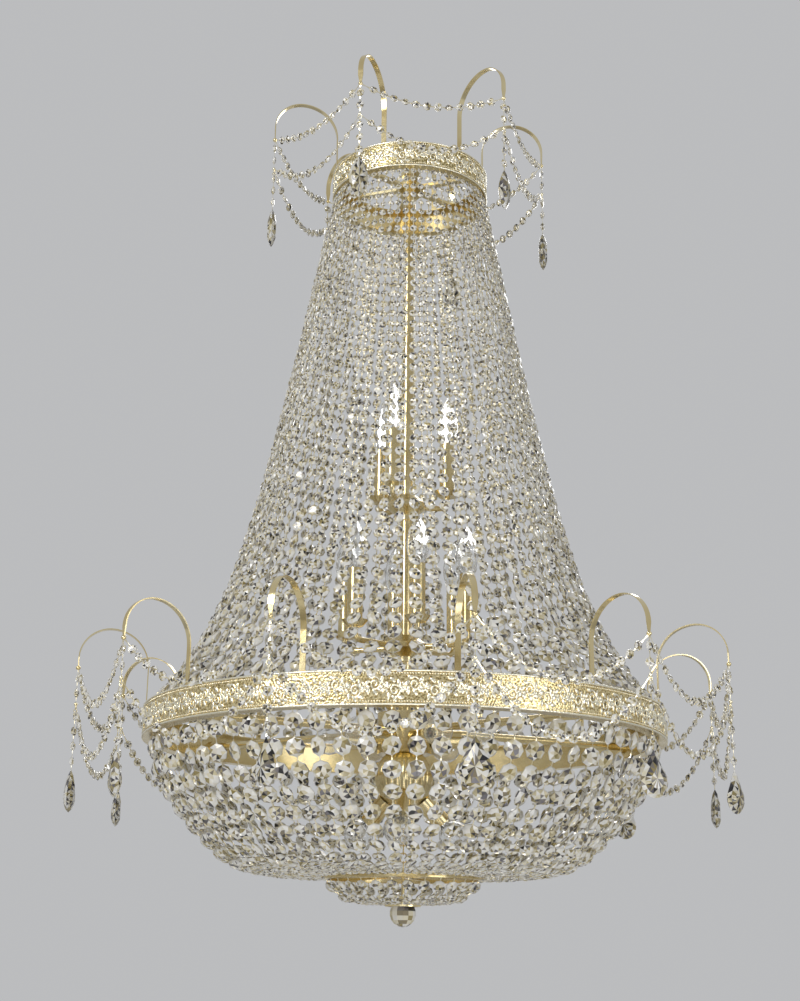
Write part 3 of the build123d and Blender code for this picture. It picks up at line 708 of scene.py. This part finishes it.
root = "chandelier"
step = 360 / strand["count"]
strandAngles = [strand["firstAngle"] + step * i for i in range(strand["count"])]
tentStrands = strandVariants(cutBead, tentPath(), strand["leadRing"], tentBead)
perSector = strand["count"] // strand["sectors"]
for sector in range(strand["sectors"]):
    hangStrands(
        tentStrands,
        strandAngles[sector * perSector : (sector + 1) * perSector],
        (f"tentBeads_{sector + 1}", f"tentPins_{sector + 1}"),
        root,
        (f"tent_strands_{sector + 1}",),
    )
bowlStrands = strandVariants(cutBead, bowlPath(), strand["leadTop"], bowlBead)
hangStrands(bowlStrands, strandAngles, ("bowlBeads", "bowlPins"), root, ("bowl_strands",))
basketStrands = strandVariants(cutBead, basketPath(), strand["leadTop"], basketBead)
basketAngles = [basket["firstAngle"] + 360 / basket["count"] * i for i in range(basket["count"])]
hangStrands(
    basketStrands, basketAngles, ("basketBeads", "basketPins"), root, ("basket_strands",)
)
for variants in (tentStrands, bowlStrands, basketStrands):
    for pair in variants:
        discard(*pair)
print("stage: strands hung")

# hangers, drops and swags on both tiers of hooks

hang = {
    "bead": 0.014,
    "pitch": 0.022,
    "lead": 0.0165,
    "hangerBeads": 2,
    "pivotDrop": 0.008,
    "dropLead": 0.0185,
    "dropTop": 0.004,
    "junction": 0.0035,
    "swagGap": 0.0035,
    "swagSteps": 80,
    "firstAngle": -110.0,
}
topTier = {
    "count": 6,
    "tipRadius": 0.2339,
    "tipHeight": 0.0083,
    "dropBeads": 3,
    "sags": (0.029, 0.050),
    "leads": (0.016, 0.016),
    "length": 0.070,
    "width": 0.030,
    "round": False,
    "name": "top",
}
lowTier = {
    "count": 12,
    "tipRadius": 0.4991,
    "tipHeight": -0.9116,
    "dropBeads": 4,
    "sags": (0.072, 0.091),
    "leads": (0.018, 0.023),
    "length": 0.062,
    "width": 0.042,
    "round": True,
    "name": "lower",
}
pendant = {
    "points": 20,
    "thickness": 0.014,
    "rims": ((0.80, 0.55), (0.46, 1.0)),
    "facing": 30.0,
    "belly": 0.55,
    "fullness": 0.85,
    "reflectionTone": (0.3, 0.5),
}


def bellyDepth(tier):
    if tier["round"]:
        return tier["length"] - tier["width"] / 2
    return pendant["belly"] * tier["length"]


def pendantOutline(tier, share):
    belly = bellyDepth(tier)
    half = tier["width"] / 2
    if not tier["round"]:
        z = -tier["length"] * (1 - math.cos(2 * math.pi * share)) / 2
        reach = belly if z > -belly else tier["length"] - belly
        off = abs(z + belly) / reach
        y = half * (1 - off**2) ** pendant["fullness"] if off < 1 else 0
        return math.copysign(y, math.sin(2 * math.pi * share) + 1e-9), z
    lean = math.acos(half / belly)
    turn = 2 * math.pi * share
    if turn <= lean or turn >= 2 * math.pi - lean:
        near = min(turn, 2 * math.pi - turn) / lean
        y = half * math.sin(lean) * near
        z = -belly * near + half * math.cos(lean) * near
        return math.copysign(y, math.sin(turn) + 1e-9), z
    return half * math.sin(turn), -belly + half * math.cos(turn)


def makePendant(tier):
    piece = addMesh(
        "circle",
        f"{tier['name']}Pendant",
        vertices=pendant["points"],
        radius=1.0,
        fill_type="NGON",
        rotation=(0, math.pi / 2, 0),
    )
    for i, vertex in enumerate(piece.data.vertices):
        y, z = pendantOutline(tier, i / pendant["points"])
        vertex.co = (0, y, z)
    belly = -bellyDepth(tier)
    height = 0.0
    scale = 1.0
    for rim, rise in pendant["rims"]:
        up = pendant["thickness"] / 2 * rise - height
        shrink = rim / scale
        onFaces(
            piece,
            lambda face: len(face.vertices) > 4,
            lambda: bpy.ops.mesh.extrude_region_move(
                TRANSFORM_OT_translate={"value": (up, 0, 0)}
            ),
            lambda: bpy.ops.transform.resize(
                value=(1, shrink, shrink), center_override=(height + up, 0, belly)
            ),
        )
        height += up
        scale = rim
    onFaces(
        piece,
        lambda face: len(face.vertices) == 4,
        lambda: bpy.ops.mesh.quads_convert_to_tris(quad_method="SHORTEST_DIAGONAL"),
    )
    onFaces(
        piece,
        lambda face: len(face.vertices) > 4 and face.center.x > 0.001,
        lambda: bpy.ops.mesh.poke(),
    )
    onFaces(
        piece,
        lambda face: len(face.vertices) > 4,
        lambda: bpy.ops.mesh.delete(type="ONLY_FACE"),
    )
    applyModifier(piece, "MIRROR", use_axis=(True, False, False))
    onFaces(
        piece,
        lambda face: True,
        lambda: bpy.ops.mesh.normals_make_consistent(inside=False),
    )
    # sideways facets get a brighter painted reflection tone, for painted highlights on the
    # pendant
    reflectionTone = piece.data.attributes.new("facetTone", "FLOAT", "FACE")
    least, gain = pendant["reflectionTone"]
    for face, item in zip(piece.data.polygons, reflectionTone.data):
        item.value = least + gain * (1 - abs(face.normal.x))
    return piece


def column(radius, heights):
    return [(Vector((radius, 0, z)), hang["bead"]) for z in heights]


def hookAngles(tier):
    return [hang["firstAngle"] + 360 / tier["count"] * i for i in range(tier["count"])]


def makeDrops(tier):
    radius = tier["tipRadius"]
    hangerEnd = tier["tipHeight"] - 2 * hang["lead"] - (hang["hangerBeads"] - 1) * hang["pitch"]
    heights = [
        tier["tipHeight"] - hang["lead"] - hang["pitch"] * i for i in range(hang["hangerBeads"])
    ]
    top = Vector((radius, 0, tier["tipHeight"] - hang["junction"]))
    end = Vector((radius, 0, hangerEnd))
    hangers = stringBeads(cutBead, column(radius, heights), top, end, Vector((1, 0, 0)))
    hangStrands(
        [hangers],
        hookAngles(tier),
        (f"{tier['name']}HangerBeads", f"{tier['name']}HangerPins"),
        root,
        (f"{tier['name']}_hangers",),
    )
    discard(*hangers)
    pivot = hangerEnd - hang["pivotDrop"]
    heights = [
        pivot - hang["dropLead"] + hang["pivotDrop"] - hang["pitch"] * i
        for i in range(tier["dropBeads"])
    ]
    start = Vector((radius, 0, pivot - hang["dropTop"]))
    tip = heights[-1] - hang["bead"] / 2 - strand["pinGap"]
    pattern = makePendant(tier)
    for i, angle in enumerate(hookAngles(tier)):
        node = f"{tier['name']}_drop_{i + 1}"
        facing = turnZ(dice.uniform(-1, 1) * pendant["facing"])
        hung = copyOf(pattern, Matrix.Translation((radius, 0, tip)) @ facing)
        beads, pins = stringBeads(
            cutBead, column(radius, heights), start, Vector((radius, 0, tip)), Vector((1, 0, 0))
        )
        beads = joined([beads, hung], "dropBeads")
        hangStrands(
            [(beads, pins)],
            [angle],
            (f"{tier['name']}DropCrystal_{i + 1}", f"{tier['name']}DropPins_{i + 1}"),
            node,
            (node,),
        )
        discard(beads, pins)
    discard(pattern)
    return hangerEnd


def swagPath(tier, height, sag):
    half = math.radians(180 / tier["count"])
    reach = tier["tipRadius"] * math.cos(half)
    side = tier["tipRadius"] * math.sin(half)
    points = []
    for i in range(hang["swagSteps"] + 1):
        t = i / hang["swagSteps"]
        points.append(Vector((reach, side * (2 * t - 1), height - 4 * sag * t * (1 - t))))
    return Path(points)


def makeSwags(tier, hangerEnd):
    beadSets = []
    pinSets = []
    for sag, lead, height in zip(tier["sags"], tier["leads"], (tier["tipHeight"], hangerEnd)):
        path = swagPath(tier, height, sag)
        beads = layBeads(path, lead, lead, hang["swagGap"], lambda point: hang["bead"])
        start = path.at(hang["junction"])
        end = path.at(path.length - hang["junction"])
        for angle in hookAngles(tier):
            turned = angle + 180 / tier["count"]
            cut, pins = stringBeads(cutBead, beads, start, end, Vector((1, 0, 0)))
            cut.data.transform(turnZ(turned))
            pins.data.transform(turnZ(turned))
            beadSets.append(cut)
            pinSets.append(pins)
    swags = joined(beadSets, f"{tier['name']}SwagBeads")
    sparkle(swags)
    finishPiece(swags, root, crystal, (f"{tier['name']}_swags",))
    finishPiece(joined(pinSets, f"{tier['name']}SwagPins"), root, pinGold)


link = {"ring": 0.0036, "wire": 0.0006, "smallRing": 0.0022, "knob": 0.0028}


def makeRing(name, radius, wire, centre, turn):
    return addMesh(
        "torus",
        name,
        major_radius=radius,
        minor_radius=wire,
        major_segments=14,
        minor_segments=6,
        location=centre,
        rotation=turn,
    )


def makeLinks(tier, hangerEnd):
    radius = tier["tipRadius"]
    pivot = hangerEnd - hang["pivotDrop"]
    across = (0, math.pi / 2, 0)
    inLine = (math.pi / 2, 0, 0)
    held = makeRing(
        "heldRing", link["ring"], link["wire"], (radius, 0, pivot + link["ring"]), across
    )
    knobs = [held]
    for height in (tier["tipHeight"], hangerEnd):
        knobs.append(
            addMesh(
                "uv_sphere",
                "knob",
                segments=10,
                ring_count=6,
                radius=link["knob"],
                location=(radius, 0, height),
            )
        )
    held = joined(knobs, "held")
    low = pivot - link["smallRing"] + link["wire"]
    loose = makeRing("looseRing", link["smallRing"], link["wire"], (radius, 0, low), inLine)
    rings = [copyOf(held, turnZ(angle)) for angle in hookAngles(tier)]
    whole = joined(rings, f"{tier['name']}HangerRings")
    bpy.ops.object.shade_smooth()
    finishPiece(whole, root, pinGold)
    for i, angle in enumerate(hookAngles(tier)):
        ring = copyOf(loose, turnZ(angle))
        ring.name = f"{tier['name']}DropRing_{i + 1}"
        finishPiece(ring, f"{tier['name']}_drop_{i + 1}", pinGold)
    discard(held, loose)


for tier in (topTier, lowTier):
    junction = makeDrops(tier)
    makeSwags(tier, junction)
    makeLinks(tier, junction)
discard(plainPin)
print("stage: swags and drops hung")

# faceted ball under the basket

ball = {"radius": 0.020, "segments": 14, "rings": 9, "reflectionTone": 0.5}
ballLow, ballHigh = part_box("crystal_ball")
ballPiece = addMesh(
    "uv_sphere",
    "ballCrystal",
    segments=ball["segments"],
    ring_count=ball["rings"],
    radius=ball["radius"],
    location=(0, 0, (ballLow[2] + ballHigh[2]) / 2),
)
# every facet starts at a middle painted reflection tone before the scatter
ballReflectionTone = ballPiece.data.attributes.new("facetTone", "FLOAT", "FACE")
for item in ballReflectionTone.data:
    item.value = ball["reflectionTone"]
sparkle(ballPiece)
finishPiece(ballPiece, root, crystal, ("crystal_ball",))
discard(cutBead)

# embossed scrolls and lines of pearls on the two bands

relief = {
    "motifWidth": 0.0524,
    "scrollStart": 0.0016,
    "scrollGrow": 0.0017,
    "scrollTurns": 1.6,
    "scrollPoints": 30,
    "scrollWire": 0.0015,
    "depth": 0.0016,
    "leaf": (0.0056, 0.0026, 0.0016),
    "petal": (0.0034, 0.0022, 0.0016),
    "petals": 6,
    "heart": (0.0018, 0.0018, 0.0014),
    "rosette": 0.0044,
    "scrollLift": 0.0035,
    "leaves": 7,
    "leafStep": 0.85,
    "leafReach": 0.0105,
    "leafTop": 0.0145,
    "pearl": 0.0015,
    "pearlPitch": 0.0036,
    "pearlInset": 0.0052,
    "tall": 1.18,
}
bands = {
    # ground is the colour of the recesses: plain warm gold on the large band, and on the crown
    # band an olive gold that is partly its own colour and partly painted shade
    "crown_band": {"radius": 0.1305, "ground": "goldOlive"},
    "large_band": {"radius": 0.3985, "ground": "goldWarm"},
}


def addLeaf(size, x, z, turn):
    return addMesh(
        "uv_sphere",
        "leaf",
        segments=8,
        ring_count=5,
        radius=1.0,
        scale=(size[0], size[2], size[1]),
        location=(x, 0, z),
        rotation=(0, -turn, 0),
    )


def addScroll(middleX, middleZ, first, hand):
    points = []
    for i in range(relief["scrollPoints"]):
        turn = relief["scrollTurns"] * 2 * math.pi * i / (relief["scrollPoints"] - 1)
        reach = relief["scrollStart"] + relief["scrollGrow"] * turn / math.pi * 1.25
        x = middleX + hand * reach * math.cos(first + turn)
        z = middleZ + reach * math.sin(first + turn)
        points.append((x, 0, z))
    data = bpy.data.curves.new("scroll", "CURVE")
    data.dimensions = "3D"
    data.bevel_depth = relief["scrollWire"]
    data.bevel_resolution = 1
    line = data.splines.new("POLY")
    line.points.add(len(points) - 1)
    for point, spot in zip(line.points, points):
        point.co = (*spot, 1)
    curve = bpy.data.objects.new("scroll", data)
    bpy.context.scene.collection.objects.link(curve)
    focus(curve)
    bpy.ops.object.convert(target="MESH")
    return bpy.context.object


def makeMotif():
    parts = []
    quarter = relief["motifWidth"] / 4
    for hand, lift in ((1, 1), (-1, -1)):
        x = hand * quarter
        z = lift * relief["scrollLift"]
        parts.append(addScroll(x, z, -math.pi / 2 * lift, hand))
        for i in range(relief["leaves"]):
            turn = 0.5 + i * relief["leafStep"]
            reach = relief["leafReach"] + 0.0012 * math.sin(i * 2.1)
            leafX = x + hand * reach * math.cos(turn)
            leafZ = z + reach * math.sin(turn)
            if abs(leafZ) < relief["leafTop"]:
                parts.append(addLeaf(relief["leaf"], leafX, leafZ, turn * hand + 0.7))
    for middle in (0.0, 2 * quarter):
        for i in range(relief["petals"]):
            turn = 2 * math.pi * i / relief["petals"]
            x = middle + relief["rosette"] * math.cos(turn)
            z = relief["rosette"] * math.sin(turn)
            parts.append(addLeaf(relief["petal"], x, z, turn))
        parts.append(addLeaf(relief["heart"], middle, 0, 0))
    motif = joined(parts, "motif")
    for vertex in motif.data.vertices:
        vertex.co.y = max(-relief["depth"], min(0.0004, vertex.co.y))
    return motif


def wrapped(flat, radius, middle):
    for vertex in flat.data.vertices:
        turn = vertex.co.x / radius
        reach = radius - vertex.co.y
        height = vertex.co.z + middle
        vertex.co = (reach * math.sin(turn), -reach * math.cos(turn), height)
    return flat


def dressBand(node, motif):
    radius = bands[node]["radius"]
    low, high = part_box(node)
    middle = (low[2] + high[2]) / 2
    around = 2 * math.pi * radius
    repeats = round(around / relief["motifWidth"])
    stretch = around / repeats / relief["motifWidth"]
    shape = Matrix.Diagonal((stretch, 1, relief["tall"], 1))
    one = wrapped(copyOf(motif, shape), radius, middle)
    copies = [copyOf(one, turnZ(360 / repeats * i)) for i in range(repeats)]
    scrolls = joined(copies, f"{node}Relief")
    bpy.ops.object.shade_smooth()
    ground = finish[bands[node]["ground"]]
    embossed = embossedMaterial(f"{node}Emboss", radius, relief["depth"], ground)
    finishPiece(scrolls, root, embossed)
    pearl = addMesh("ico_sphere", "pearl", subdivisions=1, radius=relief["pearl"])
    count = round(around / relief["pearlPitch"])
    pearls = []
    for height in (low[2] + relief["pearlInset"], high[2] - relief["pearlInset"]):
        first = copyOf(pearl, Matrix.Translation((0, -radius, height)))
        pearls += [copyOf(first, turnZ(360 / count * i)) for i in range(count)]
        discard(first)
    line = joined(pearls, f"{node}Pearls")
    bpy.ops.object.shade_smooth()
    finishPiece(line, root, embossed)
    discard(one, pearl)
    nodes[node].data.materials[0] = embossed


motif = makeMotif()
for node in bands:
    dressBand(node, motif)
discard(motif)
print("stage: bands embossed")

# reeded vase and hollow bulbs

vase = {
    "radius": 0.0447,
    "reeds": 24,
    "reedDepth": 0.055,
    "segments": 192,
    "rings": 28,
    "eyeRadius": 0.0045,
    "eyeWire": 0.001,
    "eyeSink": 0.002,
    "edge": 0.0004,
}
glass = {"wall": 0.0007, "merge": 0.00001}


def makeVase():
    low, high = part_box("vase")
    eyeOuter = vase["eyeRadius"] + vase["eyeWire"]
    middle = low[2] + eyeOuter * 2 - vase["eyeSink"] + vase["radius"]
    body = addMesh(
        "uv_sphere",
        "vaseBody",
        segments=vase["segments"],
        ring_count=vase["rings"],
        radius=vase["radius"],
    )
    for vertex in body.data.vertices:
        turn = math.atan2(vertex.co.y, vertex.co.x)
        level = vertex.co.z / vase["radius"]
        wave = 1 - abs(math.cos(vase["reeds"] / 2 * turn))
        dip = vase["reedDepth"] * wave * (1 - level**4)
        vertex.co.x *= 1 - dip
        vertex.co.y *= 1 - dip
    body.data.transform(Matrix.Translation((0, 0, middle)))
    onFaces(
        body,
        lambda face: True,
        lambda: bpy.ops.mesh.bisect(
            plane_co=(0, 0, high[2]), plane_no=(0, 0, 1), use_fill=True, clear_outer=True
        ),
    )
    applyModifier(body, "BEVEL", width=vase["edge"], segments=1)
    spot = (0, 0, low[2] + eyeOuter)
    eye = makeRing("vaseEye", vase["eyeRadius"], vase["eyeWire"], spot, (math.pi / 2, 0, 0))
    whole = joined([body, eye], "vaseReeded")
    bpy.ops.object.shade_smooth_by_angle(angle=math.radians(50))
    finishPiece(whole, root, gold, ("vase",))


def makeHollow(node):
    shell = copyOf(nodes[node], Matrix.Identity(4))
    shell.parent = None
    shell.name = f"{node}Glass"
    onFaces(
        shell,
        lambda face: True,
        lambda: bpy.ops.mesh.remove_doubles(threshold=glass["merge"]),
    )
    applyModifier(shell, "SOLIDIFY", thickness=glass["wall"], offset=-1.0)
    bpy.ops.object.shade_smooth_by_angle(angle=math.radians(40))
    finishPiece(shell, root, bulbGlass, (node,))


makeVase()
for node in ("candle_bulbs", "globe_bulbs"):
    makeHollow(node)
print("stage: vase reeded, bulbs hollowed")

# room, light and camera

room = {
    "floorDrop": 1.60,
    "floorSize": 16.0,
    "floorColour": (0.80, 0.80, 0.80),
    "skyColour": (0.50, 0.505, 0.515),
    "ambient": 0.7,
    "mottle": 0.97,
    "aim": (0, 0, -0.62),
}
lamps = (
    ("keyLamp", (-2.2, -2.6, 0.6), 1.4, 64.0),
    ("fillLamp", (2.6, -2.2, -0.8), 1.6, 24.0),
    ("backLamp", (0.6, 2.8, 0.9), 1.6, 40.0),
    ("lowLamp", (0.0, -1.9, -1.9), 1.6, 14.0),
)
view = {
    "place": (0.0, -2.36405, -1.32296),
    "pitch": 0.2897,
    "yaw": -0.0046,
    "roll": 0.0110,
    "focalPixels": 1530.48,
    "pictureHeight": 1001,
    "sensor": 36.0,
}


def makeRoom():
    floor = addMesh(
        "plane",
        "floor",
        size=room["floorSize"],
        location=(0, 0, cadBox[0][2] - room["floorDrop"]),
    )
    graph = Graph("floorPaint")
    mottle = noise(graph, 3.0)
    pale = room["floorColour"]
    darker = tuple(room["mottle"] * c for c in pale)
    graph.feed(Base_Color=ramp(graph, mottle, (0.3, darker), (0.7, pale)), Roughness=0.9)
    floor.data.materials.append(graph.material)
    world = bpy.data.worlds.new("studio")
    bpy.context.scene.world = world
    world.use_nodes = True
    links = world.node_tree.links
    make = world.node_tree.nodes.new
    seen = make("ShaderNodeLightPath")
    output = world.node_tree.nodes["World Output"]
    ambient = world.node_tree.nodes["Background"]
    ambient.inputs["Color"].default_value = (*room["skyColour"], 1)
    ambient.inputs["Strength"].default_value = room["ambient"]
    backdrop = make("ShaderNodeBackground")
    backdrop.inputs["Color"].default_value = (*room["skyColour"], 1)
    backdrop.inputs["Strength"].default_value = 1.0
    shown = seen.outputs["Is Camera Ray"]
    for ray in ("Is Glossy Ray", "Is Transmission Ray"):
        either = make("ShaderNodeMath")
        either.operation = "MAXIMUM"
        links.new(shown, either.inputs[0])
        links.new(seen.outputs[ray], either.inputs[1])
        shown = either.outputs[0]
    mix = make("ShaderNodeMixShader")
    links.new(shown, mix.inputs[0])
    links.new(ambient.outputs[0], mix.inputs[1])
    links.new(backdrop.outputs[0], mix.inputs[2])
    links.new(mix.outputs[0], output.inputs["Surface"])


def makeLamp(name, spot, size, power):
    light = bpy.data.lights.new(name, "AREA")
    light.size = size
    light.energy = power
    lamp = bpy.data.objects.new(name, light)
    bpy.context.scene.collection.objects.link(lamp)
    lamp.location = spot
    aim = Vector(room["aim"]) - Vector(spot)
    lamp.rotation_euler = aim.to_track_quat("-Z", "Y").to_euler()


def makeCamera():
    cosP, sinP = math.cos(view["pitch"]), math.sin(view["pitch"])
    cosY, sinY = math.cos(view["yaw"]), math.sin(view["yaw"])
    cosR, sinR = math.cos(view["roll"]), math.sin(view["roll"])
    forward = Vector((cosP * sinY, cosP * cosY, sinP))
    right = Vector((cosY, -sinY, 0))
    up = Vector((-sinP * sinY, -sinP * cosY, cosP))
    turned = Matrix((right * cosR + up * sinR, up * cosR - right * sinR, -forward))
    data = bpy.data.cameras.new("camera")
    data.sensor_width = view["sensor"]
    data.lens = view["focalPixels"] / view["pictureHeight"] * view["sensor"]
    camera = bpy.data.objects.new("camera", data)
    bpy.context.scene.collection.objects.link(camera)
    camera.matrix_world = Matrix.Translation(view["place"]) @ turned.transposed().to_4x4()
    bpy.context.scene.camera = camera


makeRoom()
for lamp in lamps:
    makeLamp(*lamp)
makeCamera()
bpy.context.scene.view_settings.view_transform = "Standard"
print("stage: room, light and camera ready")
